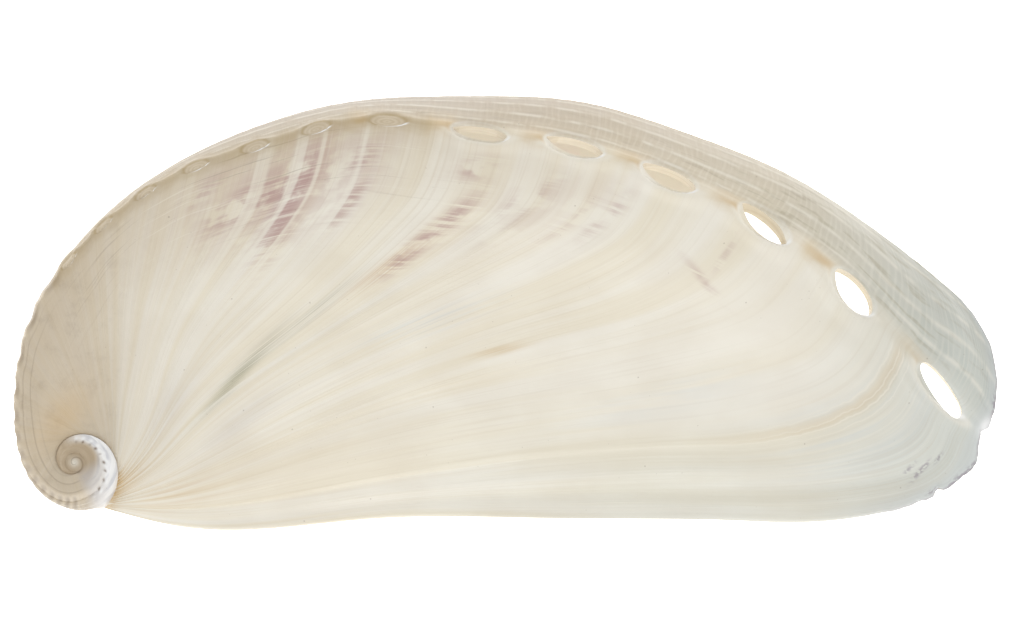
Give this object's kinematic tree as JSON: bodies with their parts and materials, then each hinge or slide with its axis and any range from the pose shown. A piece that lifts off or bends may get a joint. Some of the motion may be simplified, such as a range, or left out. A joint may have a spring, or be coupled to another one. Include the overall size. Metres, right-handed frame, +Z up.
{
  "type": "abalone shell",
  "caption": "Long, low, ear-shaped abalone shell with a small pearly spire, a row of open breathing holes and a smooth rim it rests on",
  "frame": {"origin": "middle of the shell's length and width, on the plane its rim rests on", "axes": "+X from the spire to the growing end, +Y from the lip to the row of holes, +Z up out of the outer side"},
  "size_m": [0.098, 0.0429, 0.0166],
  "materials": {
    "shell": "cream to ivory shell with a soft polish, pearly at the spire and inside"
  },
  "bodies": {
    "root": {"shell": "shell"}
  },
  "joints": []
}
